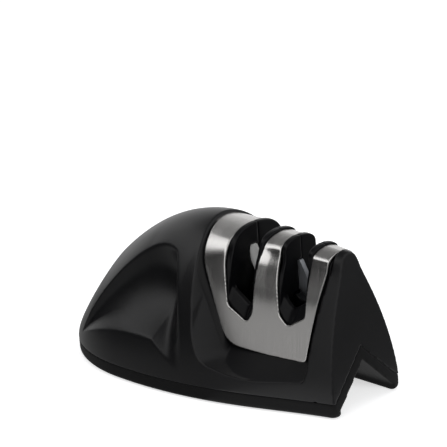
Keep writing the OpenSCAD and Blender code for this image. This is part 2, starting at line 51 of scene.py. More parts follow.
back = np.array([math.sin(azimuth) * math.cos(elevation), -math.cos(azimuth) * math.cos(elevation),
                 math.sin(elevation)])
level = np.array([math.cos(azimuth), math.sin(azimuth), 0])
upright = np.cross(back, level)
to_right = math.cos(roll) * level + math.sin(roll) * upright
to_top = -math.sin(roll) * level + math.cos(roll) * upright
offset_px = aim_px - photo_px / 2
look = -back * focus_px - to_right * offset_px[0] + to_top * offset_px[1]
look /= np.linalg.norm(look)
to_right = to_right - look * to_right.dot(look)
to_right /= np.linalg.norm(to_right)
to_top = np.cross(to_right, look)
camera_data = bpy.data.cameras.new("camera")
camera_data.sensor_width = 36
camera_data.lens = focus_px / photo_px * 36
camera_data.clip_start = 0.01
camera_data.clip_end = 20
camera = bpy.data.objects.new("camera", camera_data)
bpy.context.scene.collection.objects.link(camera)
facing = Matrix((to_right, to_top, -look)).transposed().to_4x4()
camera.matrix_world = Matrix.Translation(Vector((aim_mm + back * distance_mm) * MM)) @ facing
bpy.context.scene.camera = camera
bpy.context.scene.view_settings.view_transform = "Standard"

# Room. A white sweep and a white surround, as in a product photograph, with soft boxes above
# and at both sides; light and dark cards, seen only in reflections, give the steel its bands.
world = bpy.data.worlds.new("surround")
bpy.context.scene.world = world
world.use_nodes = True
nodes, links = world.node_tree.nodes, world.node_tree.links
nodes.clear()
seen = nodes.new("ShaderNodeBackground")
seen.inputs["Color"].default_value = (1, 1, 1, 1)
seen.inputs["Strength"].default_value = 1
lit = nodes.new("ShaderNodeBackground")
lit.inputs["Color"].default_value = (0.95, 0.97, 1, 1)
lit.inputs["Strength"].default_value = 0.35


# Share of the rays that meet a background as it is seen, in pictures, mirrors and glass alike
def seen_rays(nodes, links):
    path = nodes.new("ShaderNodeLightPath")
    first = nodes.new("ShaderNodeMath")
    first.operation = "MAXIMUM"
    links.new(path.outputs["Is Camera Ray"], first.inputs[0])
    links.new(path.outputs["Is Glossy Ray"], first.inputs[1])
    second = nodes.new("ShaderNodeMath")
    second.operation = "MAXIMUM"
    links.new(first.outputs[0], second.inputs[0])
    links.new(path.outputs["Is Transmission Ray"], second.inputs[1])
    return second.outputs[0]


mix = nodes.new("ShaderNodeMixShader")
links.new(seen_rays(nodes, links), mix.inputs["Fac"])
links.new(lit.outputs[0], mix.inputs[1])
links.new(seen.outputs[0], mix.inputs[2])
output = nodes.new("ShaderNodeOutputWorld")
links.new(mix.outputs[0], output.inputs["Surface"])


head_place = Vector((0.02, 0, 0.03))
body_place = Vector((0, 0, 0.02))


# A place at an angle round from +X, an angle up and a distance from the head, in degrees and metres
def around(turn, up, reach):
    turn, up = math.radians(turn), math.radians(up)
    across_floor = reach * math.cos(up)
    way = Vector((across_floor * math.cos(turn), across_floor * math.sin(turn), reach * math.sin(up)))
    return head_place + way


# A soft box turned towards the body, which lights it but isn't mirrored in it
def soft_box(name, place, size, watts):
    light = bpy.data.lights.new(name, "AREA")
    light.shape = "RECTANGLE"
    light.size, light.size_y = size
    light.energy = watts
    holder = bpy.data.objects.new(name, light)
    holder.location = place
    holder.rotation_euler = (place - body_place).to_track_quat("Z", "Y").to_euler()
    holder.visible_glossy = False
    bpy.context.scene.collection.objects.link(holder)


soft_box("top_box", around(120, 75, 0.8), (0.6, 0.6), watts=1.9)
soft_box("left_box", around(224, 36, 0.8), (0.7, 0.3), watts=1.8)
soft_box("right_box", around(-8, 28, 0.8), (0.3, 0.3), watts=2.3)


# A card of one shade that only reflections see, turned towards the head or laid on the floor
def card(name, place, size, shade, flat=None):
    half_x, half_y = size[0] / 2, size[1] / 2
    mesh = bpy.data.meshes.new(name)
    corners = [(-half_x, -half_y, 0), (half_x, -half_y, 0), (half_x, half_y, 0), (-half_x, half_y, 0)]
    mesh.from_pydata(corners, [], [(0, 1, 2, 3)])
    board = bpy.data.objects.new(name, mesh)
    board.location = place
    board.rotation_euler = (place - head_place).to_track_quat("Z", "Y").to_euler()
    if flat is not None:
        board.rotation_euler = (0, 0, math.radians(flat))
    board.visible_camera = board.visible_diffuse = False
    board.visible_transmission = board.visible_shadow = False
    bpy.context.scene.collection.objects.link(board)
    paint = bpy.data.materials.new(name)
    paint.use_nodes = True
    nodes, links = paint.node_tree.nodes, paint.node_tree.links
    even = nodes.new("ShaderNodeEmission")
    even.inputs["Color"].default_value = (shade, shade, shade, 1)
    links.new(even.outputs[0], nodes["Material Output"].inputs["Surface"])
    mesh.materials.append(paint)


card("band_card", around(218, 42, 0.7), (1.1, 0.21), shade=1.8)
card("low_left_card", around(224, 14.5, 0.6), (1.1, 0.42), shade=0.02)
card("floor_far_card", Vector((-0.3, -0.34, 0.0003)), (0.9, 0.68), shade=0.05, flat=-46)
card("floor_near_card", Vector((-0.045, -0.085, 0.0005)), (0.9, 0.17), shade=0.42, flat=-46)
card("floor_right_card", Vector((0.36, 0.12, 0.0004)), (0.6, 0.9), shade=0.2, flat=0)
card("high_left_card", around(165, 44, 0.7), (0.9, 0.2), shade=0.25)
card("overhead_card", around(160, 70, 0.7), (1.5, 0.7), shade=0.17)

floor_mesh = bpy.data.meshes.new("floor")
floor_mesh.from_pydata([(-4, -4, 0), (4, -4, 0), (4, 4, 0), (-4, 4, 0)], [], [(0, 1, 2, 3)])
floor = bpy.data.objects.new("floor", floor_mesh)
floor.location.z = -0.0001
bpy.context.scene.collection.objects.link(floor)
sweep = bpy.data.materials.new("white_sweep")
sweep.use_nodes = True
nodes, links = sweep.node_tree.nodes, sweep.node_tree.links
paper = nodes["Principled BSDF"]
paper.inputs["Base Color"].default_value = (0.85, 0.85, 0.85, 1)
paper.inputs["Roughness"].default_value = 0.9
paper.inputs["Specular IOR Level"].default_value = 0.1
glow = nodes.new("ShaderNodeEmission")
glow.inputs["Color"].default_value = (1, 1, 1, 1)
glow.inputs["Strength"].default_value = 0.6
both = nodes.new("ShaderNodeAddShader")
mix = nodes.new("ShaderNodeMixShader")
links.new(paper.outputs[0], both.inputs[0])
links.new(glow.outputs[0], both.inputs[1])
links.new(seen_rays(nodes, links), mix.inputs["Fac"])
links.new(paper.outputs[0], mix.inputs[1])
links.new(both.outputs[0], mix.inputs[2])
links.new(mix.outputs[0], nodes["Material Output"].inputs["Surface"])
floor.data.materials.append(sweep)

# Housing. One black moulding with the rounded handle, a thumb scoop in each flank, the two
# side wells with their sloping floors and the end wall; its seam rests on the rubber sole.
end_x, half_w, end_half, body_h, end_h = 52, 29.6, 13.1, 45.3, 41.9
end_lean = 4.6
end_slope = end_lean / end_h
seam_h, wall = 4.2, 2.2
widest_x, crown_x = -16.8, 1.3
head_l = 51.1
sliver = 0.06
nose_plan_power, flank_pull = 0.41, 1.2
crown_power, nose_rise_power, fall_power = 1.86, 0.665, 1.4
side_power = 1.7
fullness_places = [-1, -0.65, -0.31, 0.06, 0.24, 0.5, 1]
fullness_powers = [0.8, 1.63, 1.55, 1.7, 2, 1.4, 1.15]
cap_half, cap_end_half, cap_depth, cap_start_x, cap_power = 6.4, 3.2, 4, 28, 4


def bound(value):
    return min(1.0, max(0.0, value))


# Half width of the body as seen from above
def plan_half(x):
    if x < widest_x:
        return half_w * max(0.0, 1 - ((widest_x - x) / (widest_x + end_x)) ** 2) ** nose_plan_power
    run = (x - widest_x) / (end_x - widest_x)
    return half_w - (half_w - end_half) * run * run - flank_pull * math.sin(math.pi * min(1.0, run) ** 3)


# Height of the body's crest
def crown(x):
    if x < crown_x:
        left = max(0.0, 1 - ((crown_x - x) / (crown_x + end_x)) ** crown_power)
        return seam_h + (body_h - seam_h) * left ** nose_rise_power
    return body_h - (body_h - end_h) * ((x - crown_x) / (end_x - crown_x)) ** fall_power


# How full a cross-section is, from the nose to the end face
def fullness(x):
    return np.interp(x / end_x, fullness_places, fullness_powers)


# Half width of a cross-section, with a rounded crown that narrows towards the end face
def side_half(x, z, end_width=cap_end_half, deep=cap_depth):
    top = crown(x)
    rise = bound((z - seam_h) / max(sliver, top - seam_h))
    flank = plan_half(x) * (1 - rise ** side_power) ** (1 / fullness(x))
    depth = min(deep, (top - seam_h) / 2)
    sink = bound((z - top + depth) / max(depth, sliver))
    width = cap_half + (end_width - cap_half) * bound((x - cap_start_x) / (end_x - cap_start_x))
    cap = min(width, plan_half(x) / 2) * math.sqrt(max(0.0, 1 - sink * sink))
    return (flank ** cap_power + cap ** cap_power) ** (1 / cap_power)


# The scoop's arch, the crease under it and the ridge on its right
scoop_left_x, scoop_deep_x, scoop_depth, scoop_power = -38, -3.5, 8, 1.2
scoop_foot_h = 6
arch_h, arch_x, arch_l = 37.4, -7.5, 30.3
crease_h, crease_x, crease_run, crease_turn_x, crease_fall = 14.6, -8, 125, -3, 0.724
ridge_foot_x, ridge_run, ridge_h, ridge_power = 8.6, 11.5, 31, 2.2


def arch_z(x):
    return arch_h - (arch_h - scoop_foot_h) * ((arch_x - x) / arch_l) ** 2


def crease_z(x):
    return min(crease_h - (crease_x - x) ** 2 / crease_run, crease_h - crease_fall * (x - crease_turn_x))


def ridge_x(z):
    return ridge_foot_x - ridge_run * bound((z - scoop_foot_h) / ridge_h) ** ridge_power


# Depth of the scoop in the flank
def scoop(x, z):
    low, high = crease_z(x), arch_z(max(scoop_left_x, x))
    if high <= low:
        return 0
    if x < scoop_deep_x:
        run = bound((x - scoop_left_x) / (scoop_deep_x - scoop_left_x))
        run = math.sin(math.pi / 2 * run) ** scoop_power
    else:
        run = bound((ridge_x(z) - x) / (ridge_x(z) - scoop_deep_x))
        run = run * run * (3 - 2 * run)
    share = bound((z - low) / (high - low))
    return scoop_depth * run * (4 * share * (1 - share)) ** scoop_power


# Shares of the height, closer together towards the crown
def rises(count):
    return [math.sin(math.pi / 2 * i / count) ** (2 / side_power) for i in range(count + 1)]


# A cross-section's ring from its half on one side
def mirrored_ring(points):
    return [(x, -y, z) for x, y, z in points] + [(x, y, z) for x, y, z in reversed(points)]


# A solid from rings that hold equally many points, in millimetres
def loft(name, rings):
    rings = np.array(rings, dtype=float) * MM
    m, n = rings.shape[:2]
    faces = []
    for i in range(m - 1):
        for j in range(n):
            a, b = i * n + j, i * n + (j + 1) % n
            faces.append((a, a + n, b + n, b))
    faces.append(tuple(range(n)))
    faces.append(tuple(range(m * n - 1, (m - 1) * n - 1, -1)))
    mesh = bpy.data.meshes.new(name)
    mesh.from_pydata(rings.reshape(-1, 3).tolist(), [], faces)
    solid = bpy.data.objects.new(name, mesh)
    bpy.context.scene.collection.objects.link(solid)
    turned = bmesh.new()
    turned.from_mesh(mesh)
    bmesh.ops.recalc_face_normals(turned, faces=turned.faces)
    turned.to_mesh(mesh)
    turned.free()
    return solid


# A solid swept from an outline in X and Z along Y
def across(name, outline, low_y, high_y):
    return loft(name, [[(x, y, z) for x, z in outline] for y in (low_y, high_y)])


# A block between two opposite corners
def bar(name, low, high):
    outline = [(low[0], low[2]), (high[0], low[2]), (high[0], high[2]), (low[0], high[2])]
    return across(name, outline, low[1], high[1])


# Angles of a ring's points
def full_turn(count):
    return [2 * math.pi * i / count for i in range(count)]


# An upright round bar
def stub(name, x, y, radius, low, high):
    turns = full_turn(48)
    rings = [[(x + radius * math.cos(t), y + radius * math.sin(t), z) for t in turns] for z in (low, high)]
    return loft(name, rings)


# Turns a piece's modifiers into its mesh
def apply_all(solid):
    shaped = bpy.data.meshes.new_from_object(solid.evaluated_get(bpy.context.evaluated_depsgraph_get()))
    solid.modifiers.clear()
    solid.data = shaped
    return solid


def join(solid, others, kind):
    for other in others:
        step = solid.modifiers.new(kind, "BOOLEAN")
        step.operation, step.solver, step.object = kind, "MANIFOLD", other
        apply_all(solid)
        bpy.data.objects.remove(other)
    return solid


def cut(solid, *others):
    return join(solid, others, "DIFFERENCE")


def add(solid, *others):
    return join(solid, others, "UNION")


def keep(solid, *others):
    return join(solid, others, "INTERSECT")


# Drops what the voxel grid left floating beside a piece
def drop_grains(solid):
    shape = bmesh.new()
    shape.from_mesh(solid.data)
    left, parts = set(shape.verts), []
    while left:
        part, edge = set(), [next(iter(left))]
        while edge:
            vert = edge.pop()
            if vert not in part:
                part.add(vert)
                edge += [link.other_vert(vert) for link in vert.link_edges]
        left -= part
        parts.append(part)
    for part in sorted(parts, key=len)[:-1]:
        bmesh.ops.delete(shape, geom=list(part), context="VERTS")
    shape.to_mesh(solid.data)
    shape.free()


# Rounds every edge a little, as a mould or a stamping does, and keeps a share of the faces
def soften(solid, grain, rounds, kept=1):
    step = solid.modifiers.new("even", "REMESH")
    step.mode, step.voxel_size = "VOXEL", grain * MM
    step = solid.modifiers.new("round", "SMOOTH")
    step.iterations, step.factor = rounds, 0.5
    if kept < 1:
        step = solid.modifiers.new("thin_out", "DECIMATE")
        step.ratio = kept
    apply_all(solid)
    drop_grains(solid)
    for face in solid.data.polygons:
        face.use_smooth = True
    return solid


# Rounds an outline's corners, each from its own reach along both edges
def blend_corners(outline, reaches, steps=8):
    outline = [np.array(p, dtype=float) for p in outline]
    rounded = []
    for i, corner in enumerate(outline):
        before, after = outline[i - 1], outline[(i + 1) % len(outline)]
        if reaches[i] == 0:
            rounded.append(tuple(corner))
            continue
        a = corner + (before - corner) * reaches[i] / np.linalg.norm(before - corner)
        b = corner + (after - corner) * reaches[i] / np.linalg.norm(after - corner)
        for k in range(steps + 1):
            t = k / steps
            rounded.append(tuple(a * (1 - t) ** 2 + 2 * t * (1 - t) * corner + b * t * t))
    return rounded


# A point of the head from its shares of the head's length and the body's height
def head_point(x_share, z_share):
    return np.array([end_x - head_l * (1 - x_share), body_h * z_share])


# The wells' floors start at a rim in the flank, and turn and rise from there
rim_x, rim_h = 30, 8
floor_turn, floor_slope = math.radians(12), math.radians(27)
# How far the shapes that cut or trim reach past the part
past, far_past, block_past = 60, 90, 200


# Everything under the sloping floor of the near side's well, or of the far side's
def under_floor(side, drop):
    block = bar("under_floor", (-block_past, -block_past, -block_past), (block_past, block_past, 0))
    pose = Matrix.Translation((rim_x * MM, -side_half(rim_x, rim_h) * MM, (rim_h - drop) * MM))
    pose = pose @ Matrix.Rotation(floor_turn, 4, "Z") @ Matrix.Rotation(floor_slope, 4, "X")
    block.data.transform(pose)
    beyond = 1.5 * block_past
    cut(block, bar("far_half", (-beyond, 0, -beyond), (beyond, beyond, beyond)))
    if side > 0:
        block.data.transform(Matrix.Scale(-1, 4, (0, 1, 0)))
        block.data.flip_normals()
    return block


# The wells' outline: shares of the head, where growth moves each point, and its share of the flare
well_outline = [
    (0, 1.2, -1, 1, 0), (0, 1.04, -1, 0, 0), (0.131, 0.698, -1, 0, 0.6), (0.25, 0.364, -1, 0, 1),
    (0.294, 0.245, -1, -1, 0.8), (0.433, 0.1865, 0, -1, 0), (0.835, 0.169, 1, -1, 0), (0.849, 0.513, 1, 0, 0),
    (0.864, 0.821, 1, 0, 0), (0.868, 1.2, 1, 1, 0)]
well_rounds = [0, 0, 4, 2, 2.8, 4, 5, 3, 0, 0]
flare_start, flare_stop, flare_share = 17, 28, 0.3


# Both wells; their left wall flares outwards past the steel
def well(grow):
    rings = []
    for y in (-far_past, -flare_stop, -flare_start, flare_start, flare_stop, far_past):
        flare = flare_share * max(0, min(flare_stop, abs(y)) - flare_start)
        corners = [tuple(head_point(a, b) + np.array([grow * c - flare * f, grow * d]))
                   for a, b, c, d, f in well_outline]
        rings.append([(x, y, z) for x, z in blend_corners(corners, well_rounds)])
    drop = grow / math.cos(floor_slope)
    return cut(loft("well", rings), under_floor(-1, drop), under_floor(1, drop))


# A right-angled ridge along X
def ridge(top, start, stop):
    return loft("ridge", [[(x, -top - 1, -1), (x, 0, top), (x, top + 1, -1)] for x in (start, stop)])


# Places along a stretch, closer together at its start where the power is over 1
def stations(start, stop, count, power=1.0):
    return [start + (stop - start) * (i / count) ** power for i in range(count + 1)]


nose_end_x, head_end_x = -44, 42


# The housing's outside, from the nose to the leaning end face
def body_skin():
    xs = stations(sliver - end_x, nose_end_x, 40, 2)[:-1] + stations(nose_end_x, head_end_x, 215)
    heights = rises(120)
    rings = []
    for x in xs + [end_x]:
        ring = []
        for rise in heights:
            z = seam_h + (crown(x) - seam_h) * rise
            y = max(sliver, side_half(x, z) - scoop(x, z))
            ring.append((end_x - end_slope * z if x == end_x else x, y, z))
        rings.append(mirrored_ring(ring))
    return loft("housing_shape", rings)


hollow_start_x, end_run = -44.4, 9.2


# The housing's inside, a wall's thickness further in
def hollow():
    stop_x = end_x - wall
    rings = []
    for x in stations(hollow_start_x, stop_x - end_run, 40) + [stop_x]:
        ring = []
        for i, rise in enumerate(rises(30)):
            z = seam_h + (crown(x) - wall - seam_h) * rise
            inward = end_slope * z if x == stop_x else 0
            y = max(sliver, side_half(x, z + wall / 2) - scoop(x, z) - wall)
            ring.append((x - inward, y, z - (1 if i == 0 else 0)))
        rings.append(mirrored_ring(ring))
    return loft("hollow", rings)


# Bosses and pilot holes for the screws, the posts for the core, the opening under it
long_places, short_places = ((-26, 8.3), (5, 8.1)), ((22, 6),)
boss_r, boss_top = 3.2, 50
long_pilot_r, long_pilot_top, short_pilot_r, short_pilot_top = 1.5, 13.6, 1.2, 8.2


# Places at both sides, each a distance in from the plan's edge
def mirrored_places(places):
    return [(x, side * (plan_half(x) - inset)) for x, inset in places for side in (-1, 1)]


long_screws, short_screws = mirrored_places(long_places), mirrored_places(short_places)
bosses = [stub("boss", x, y, boss_r, 0, boss_top) for x, y in long_screws + short_screws]
inside = cut(hollow(), well(wall), *bosses)
housing = cut(body_skin(), well(0), inside)
hatch = [(12.5, 4.2), (30, 4.2), (44.3, 7.6), (44.3, -7.6), (30, -4.2), (12.5, -4.2)]
hatch_top = 28
cut(housing, loft("hatch", [[(x, y, z) for x, y in hatch] for z in (rim_h, hatch_top)]))
post_x, post_y, post_r, post_foot, post_top = 26, 7, 3, 12, 24
post_pilot_foot, post_pilot_top = 17.3, 25
add(housing, *[stub("post", post_x, side * post_y, post_r, post_foot, post_top) for side in (-1, 1)])
groove_h, band_top, plate_t = 12.5, 16.5, 1.8
plate_top = band_top + plate_t * math.sqrt(2)
band_start_x, plate_start_x, plate_end_x, plate_play = -45, -43.8, 46.7, 0.2
cut(housing, ridge(groove_h, -far_past, far_past), ridge(band_top, band_start_x, far_past),
    ridge(plate_top + plate_play, hollow_start_x, plate_end_x + plate_play))
cut(housing, *[stub("pilot", x, y, long_pilot_r, 0, long_pilot_top) for x, y in long_screws])
cut(housing, *[stub("pilot", x, y, short_pilot_r, 0, short_pilot_top) for x, y in short_screws])
for y in (-post_y, post_y):
    cut(housing, stub("pilot", post_x, y, long_pilot_r, post_pilot_foot, post_pilot_top))
soften(housing, grain=0.25, rounds=5, kept=0.18)
housing.name = "housing_moulding"


# Black plastic with the fine spark texture of the mould: matte grains over a satin gloss
def black_plastic(name, colour, roughness, gloss, grain_depth):
    finish = bpy.data.materials.new(name)
    finish.use_nodes = True
    nodes, links = finish.node_tree.nodes, finish.node_tree.links
    shader = nodes["Principled BSDF"]
    shader.inputs["Specular IOR Level"].default_value = gloss
    where = nodes.new("ShaderNodeTexCoord")
    grains = nodes.new("ShaderNodeTexNoise")
    grains.inputs["Scale"].default_value = 2600
    grains.inputs["Detail"].default_value = 3
    flow = nodes.new("ShaderNodeTexNoise")
    flow.inputs["Scale"].default_value = 55
    flow.inputs["Detail"].default_value = 5
    links.new(where.outputs["Object"], grains.inputs["Vector"])
    links.new(where.outputs["Object"], flow.inputs["Vector"])
    tint = nodes.new("ShaderNodeMixRGB")
    tint.inputs["Color1"].default_value = tuple(0.8 * c for c in colour) + (1,)
    tint.inputs["Color2"].default_value = tuple(1.2 * c for c in colour) + (1,)
    links.new(flow.outputs["Fac"], tint.inputs["Fac"])
    links.new(tint.outputs["Color"], shader.inputs["Base Color"])
    span = nodes.new("ShaderNodeMapRange")
    span.inputs["To Min"].default_value = roughness - 0.06
    span.inputs["To Max"].default_value = roughness + 0.06
    links.new(flow.outputs["Fac"], span.inputs["Value"])
    links.new(span.outputs["Result"], shader.inputs["Roughness"])
    bump = nodes.new("ShaderNodeBump")
    bump.inputs["Strength"].default_value = grain_depth
    bump.inputs["Distance"].default_value = 0.00004
    links.new(grains.outputs["Fac"], bump.inputs["Height"])
    links.new(bump.outputs["Normal"], shader.inputs["Normal"])
    return finish


# Gives a piece its finish and ties it to the part, in place of the nodes it stands for
def dress(piece, finish, slot, *nodes):
    piece.data.materials.clear()
    piece.data.materials.append(finish)
    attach(piece, "root")
    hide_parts(*nodes)


housing_finish = black_plastic("satin_black_plastic", (0.0045, 0.0045, 0.005), roughness=0.34, gloss=0.26,
                               grain_depth=0.6)
dress(housing, housing_finish, "black_plastic", "housing")

# Saddle. One stainless sheet, brushed up and down, folded over the core and cut out for the two
# slots; a tab at the handle's end hooks under the housing and the legs stand in the wells.
steel_t, steel_low = 0.6, 11.5
slot_1_x, slot_2_x, slot_w, liner_t = 17.95, 34.05, 7.2, 1.8
apex_h, slot_drop = 31.4, 10.9
steel_cap_half, steel_cap_depth, steel_side, steel_rise = 5.2, 3, 0.3, 0.8
leg_half_start, leg_half_loss, leg_start_x, leg_run = 14.2, 6.4, 14.5, 30
leg_splay, leg_bend_h, leg_power = 0.12, 24, 8
slot_1_lows = [(-0.44, 0.65), (0.4, 1), (0.65, 0.73)]
slot_2_lows = [(-0.44, 0.7), (-0.08, 0.94), (0.65, 0.65)]
saddle_outline = [
    (0.01, 1.2, 1, 0), (0.01, 1.03, 1, 0), (0.059, 0.919, 1, 0), (0.145, 0.681, 1, 0), (0.264, 0.3, 1, 1),
    (0.5, 0.275, 0, 1), (0.752, 0.267, -1, 1), (0.782, 0.462, -1, 0), (0.812, 0.626, -1, 0),
    (0.85, 0.811, -1, 0), (0.86, 0.955, -1, 0), (0.86, 1.2, -1, 0)]
saddle_rounds = [0, 0, 0, 4, 5, 3, 1.2, 2, 2, 2, 0, 0]


# Half width across the steel's two legs
def leg_half(x):
    return leg_half_start - leg_half_loss * (x - leg_start_x) / leg_run


# Half width of the steel's outside, or of a surface a little further out, at a place and height
def saddle_half(x, z, out):
    shell = side_half(x, z + steel_rise - out, steel_cap_half, steel_cap_depth) - steel_side + out
    leg = leg_half(x) + leg_splay * (leg_bend_h - z) + out
    return (max(sliver, shell) ** -leg_power + leg ** -leg_power) ** (-1 / leg_power)


arch_start_x, arch_end_x = -2.1, 47.4


# The arch of the steel's outside, or of a surface a little further out, down to a height
def head_arch(out, low):
    rings = []
    for x in stations(arch_start_x, arch_end_x, 140):
        top = crown(x) - steel_rise + out
        heights = [low + (top - low) * rise for rise in rises(70)]
        rings.append(mirrored_ring([(x, max(sliver, saddle_half(x, z, out)), z) for z in heights]))
    return loft("head_arch", rings)


# An outline of the head as seen from the side, swept through it
def head_outline(shares, reaches, inset):
    outline = [tuple(head_point(a, b) + inset * np.array([c, d])) for a, b, c, d in shares]
    return across("head_outline", blend_corners(outline, reaches), -past, past)


slot_rounds = [0, 0, 0.9, 1.3, 1.1, 0, 0]
slot_shoulder = 4


# Opening of one slot: straight down past its linings, then in to the low points
def slot_cut(middle, lows, inset):
    top_half = slot_w / 2 + liner_t - inset
    shoulder_h = body_h - slot_shoulder
    outline = [(middle - top_half, past), (middle - top_half, shoulder_h)]
    for i, (a, b) in enumerate(lows):
        outline.append((middle + a * slot_w + inset * (1 - i), apex_h - b * slot_drop + inset))
    outline += [(middle + top_half, shoulder_h), (middle + top_half, past)]
    return across("slot_cut", blend_corners(outline, slot_rounds), -past, past)


tab_start_x, tab_end_x, tab_half, tab_low = -1.1, 2.9, 4, 41.3


# The tab that hooks in under the housing
def saddle_tab():
    tab_room = bar("tab_room", (tab_start_x, -tab_half, tab_low), (tab_end_x, tab_half, body_h))
    return cut(keep(head_arch(0, 8), tab_room), head_arch(-steel_t, 7))


saddle = keep(head_arch(0, steel_low), head_outline(saddle_outline, saddle_rounds, 0))
cut(saddle, head_arch(-steel_t, 8), slot_cut(slot_1_x, slot_1_lows, 0), slot_cut(slot_2_x, slot_2_lows, 0))
add(saddle, saddle_tab())
soften(saddle, grain=0.14, rounds=4, kept=0.4)
saddle.name = "steel_saddle"


# Steel with fine up and down scratches of the belt that brushed it
def brushed_steel(name, colour, roughness, streaks):
    finish = bpy.data.materials.new(name)
    finish.use_nodes = True
    nodes, links = finish.node_tree.nodes, finish.node_tree.links
    shader = nodes["Principled BSDF"]
    shader.inputs["Metallic"].default_value = 1
    shader.inputs["Anisotropic"].default_value = 0.9
    shader.inputs["Anisotropic Rotation"].default_value = 0.25
    along = nodes.new("ShaderNodeTangent")
    along.direction_type, along.axis = "RADIAL", "X"
    links.new(along.outputs["Tangent"], shader.inputs["Tangent"])
    where = nodes.new("ShaderNodeTexCoord")
    stretch = nodes.new("ShaderNodeMapping")
    stretch.inputs["Scale"].default_value = (7000, 90, 90)
    links.new(where.outputs["Object"], stretch.inputs["Vector"])
    scratches = nodes.new("ShaderNodeTexNoise")
    scratches.inputs["Scale"].default_value = 1
    scratches.inputs["Detail"].default_value = 4
    links.new(stretch.outputs["Vector"], scratches.inputs["Vector"])
    tint = nodes.new("ShaderNodeMixRGB")
    tint.inputs["Color1"].default_value = tuple(0.8 * c for c in colour) + (1,)
    tint.inputs["Color2"].default_value = tuple(1.16 * c for c in colour) + (1,)
    links.new(scratches.outputs["Fac"], tint.inputs["Fac"])
    links.new(tint.outputs["Color"], shader.inputs["Base Color"])
    span = nodes.new("ShaderNodeMapRange")
    span.inputs["To Min"].default_value = roughness - 0.08
    span.inputs["To Max"].default_value = roughness + 0.08
    links.new(scratches.outputs["Fac"], span.inputs["Value"])
    links.new(span.outputs["Result"], shader.inputs["Roughness"])
    bump = nodes.new("ShaderNodeBump")
    bump.inputs["Strength"].default_value = streaks
    bump.inputs["Distance"].default_value = 0.00003
    links.new(scratches.outputs["Fac"], bump.inputs["Height"])
    links.new(bump.outputs["Normal"], shader.inputs["Normal"])
    return finish


saddle_finish = brushed_steel("brushed_stainless", (0.56, 0.55, 0.54), roughness=0.22, streaks=0.3)
dress(saddle, saddle_finish, "brushed_steel", "saddle_cover")

# Core. Two moulded black halves that meet under the crest: they line both slots with fins, and
# each slot has a ramp at its mouths and a pit for the carrier of its rods or plates.
rod_d, rod_l, rod_lean, rod_sink, rod_chamfer = 3.2, 18.6, 25, 9.6, 0.35
blade_t, blade_w, blade_l, blade_lean, blade_bevel = 1.4, 4.5, 15, 28, 0.3
blade_x, blade_rise, pair_gap = 3.1, 5.7, 0.3
tie_places = [(10, 35), (40.95, 36.4)]
ramp_l, ramp_h, pit_inset, pit_drop = 2.3, 4.1, 3.5, 9.8
slot_1_floor = [(-3.6, 24.6), (2.88, 20.5), (3.6, 21.7)]
slot_2_floor = [(-3.6, 24.2), (-0.58, 21.2), (3.6, 23.7)]
floor_rounds = [0, 0.9, 1.2, 0.9, 0]
mouth_past = 40


# Room of one slot: its floor rises by a ramp from each mouth, and the pit lies between the ramps
def slot_room(middle, floor_line):
    reach = leg_half(middle)
    left, right = middle - slot_w / 2, middle + slot_w / 2
    inner = reach - ramp_l
    rings = []
    half = [(inner, ramp_h), (reach, 0), (mouth_past, 0)]
    for y, lift in [(-y, lift) for y, lift in reversed(half)] + half:
        low = [(middle + x, z + lift) for x, z in floor_line]
        outline = blend_corners([(left, past)] + low + [(right, past)], floor_rounds, 5)
        rings.append([(x, y, z) for x, z in outline])
    pit = bar("pit", (left, pit_inset - reach, apex_h - pit_drop), (right, reach - pit_inset, past))
    return [loft("slot_room", rings), pit]


# A leaning rod with chamfered ends, or with extra the room that it needs in the core
def lean_rod(name, side, radius, extra):
    down = rod_sink / math.cos(math.radians(rod_lean))
    length = rod_l + 2 * extra
    tip = radius - rod_chamfer
    levels = [(0, tip), (rod_chamfer, radius), (length - rod_chamfer, radius), (length, tip)]
    rod = loft(name, [[(r * math.cos(t), r * math.sin(t), z) for t in full_turn(48)] for z, r in levels])
    pose = Matrix.Translation(Vector((slot_1_x, side * (rod_d + pair_gap) / 2, apex_h)) * MM)
    pose = pose @ Matrix.Rotation(math.radians(side * rod_lean), 4, "Y")
    rod.data.transform(pose @ Matrix.Translation(Vector((side * rod_d / 2, 0, -down - extra)) * MM))
    return rod


# Lean of one side's plate, for a place that is x across it, y along Y and z up it
def blade_pose(side, x, y, z):
    pose = Matrix.Translation(Vector((slot_2_x + side * blade_x, y, apex_h + blade_rise)) * MM)
    pose = pose @ Matrix.Rotation(math.radians(side * blade_lean), 4, "Y")
    return pose @ Matrix.Translation(Vector((side * x, 0, z)) * MM)


# A leaning plate with bevelled edges, or with play the room that it needs in the core
def lean_blade(name, side, play):
    w, t, l = blade_w / 2 + play, blade_t / 2 + play, blade_l / 2 + play
    w_in, l_in = w - blade_bevel, l - blade_bevel
    right_side = [(w_in, -l), (w, -l_in), (w, l_in), (w_in, l)]
    outline = [(-w_in, -l)] + right_side + [(-w_in, l), (-w, l_in), (-w, -l_in)]
    blade = across(name, outline, -t, t)
    blade.data.transform(blade_pose(side, blade_w / 2, side * (blade_t + pair_gap) / 2, -blade_l / 2))
    return blade


# A round bar along Y
def crosswise(name, x, z, radius, low, high):
    outline = [(x + radius * math.cos(t), z + radius * math.sin(t)) for t in full_turn(40)]
    return across(name, outline, low, high)


# The core's outline is the steel's at the handle, and reaches the end wall on the right
core_outline = saddle_outline[:5] + [
    (0.838, 0.25, -1, 1), (0.849, 0.513, -1, 0), (0.864, 0.821, -1, 0), (0.868, 1.2, -1, 0)]
core_rounds = [0, 0, 0, 4, 3, 0, 3, 0, 0]
core_foot, core_in, core_gap, slot_play = 8, 0.9, 0.3, 0.15
lining_drop, lining_proud, lining_tuck, tuck_h, tuck_low = 0.3, 0.5, 1.9, 6, 21


